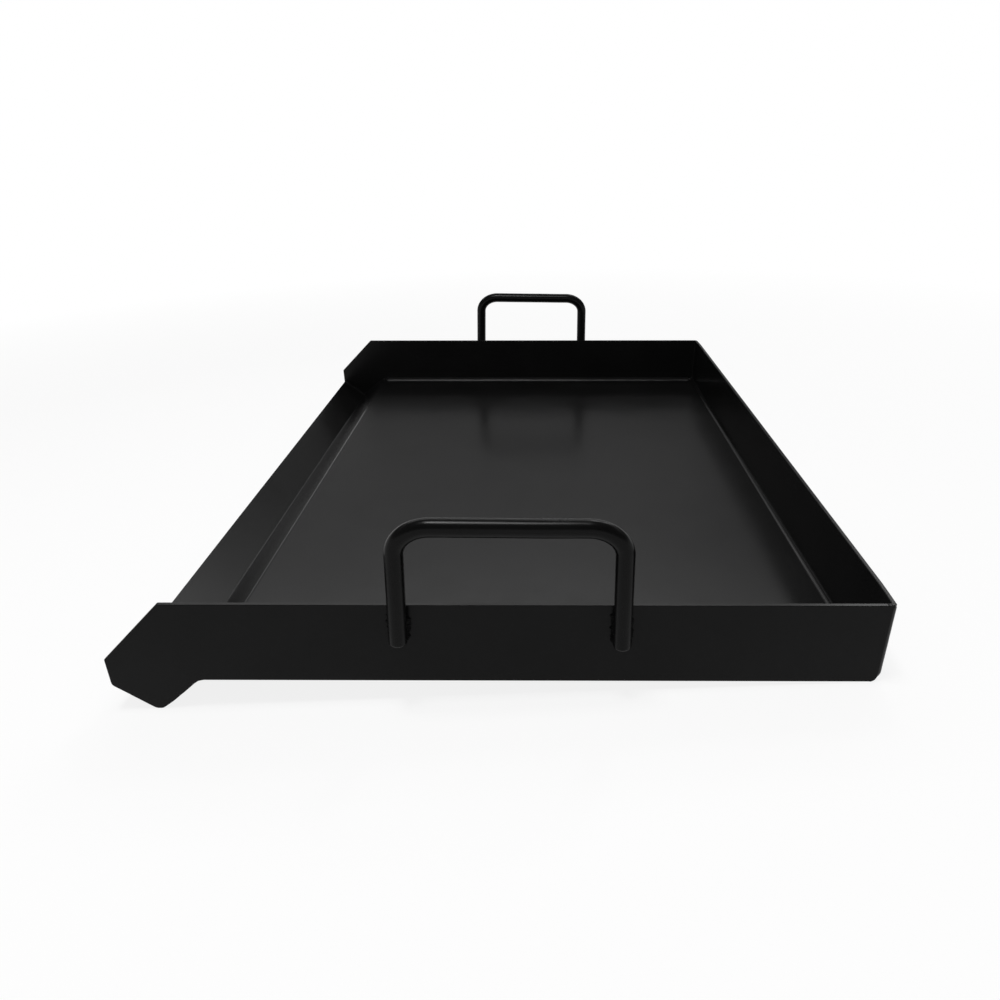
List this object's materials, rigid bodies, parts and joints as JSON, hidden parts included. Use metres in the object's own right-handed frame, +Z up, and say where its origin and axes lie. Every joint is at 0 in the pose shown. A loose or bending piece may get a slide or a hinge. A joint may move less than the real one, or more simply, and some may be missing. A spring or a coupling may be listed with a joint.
{
  "type": "camp griddle plate",
  "caption": "Black sheet-steel camp griddle with a flat floor, back wall, end plates, V-shaped grease gutter along the front and a round-bar loop handle at each end.",
  "frame": {"origin": "middle of the flat underside of the cooking floor", "axes": "+X from the gutter towards the back wall, +Y along the griddle towards the cook's left, +Z up out of the pan"},
  "size_m": [0.4071, 0.579, 0.1162],
  "materials": {
    "black_steel": "satin black heat-proof coating on sheet steel",
    "black_bar": "semi-gloss black coating on round steel bar",
    "black_weld": "satin black coating over weld metal"
  },
  "bodies": {
    "root": {"pan_sheet": "black_steel", "right_end_plate": "black_steel", "left_end_plate": "black_steel", "right_handle": "black_bar", "left_handle": "black_bar", "right_floor_weld": "black_weld", "left_floor_weld": "black_weld", "right_gutter_weld": "black_weld", "left_gutter_weld": "black_weld", "right_corner_weld": "black_weld", "left_corner_weld": "black_weld", "right_handle_welds": "black_weld", "left_handle_welds": "black_weld"}
  },
  "joints": []
}
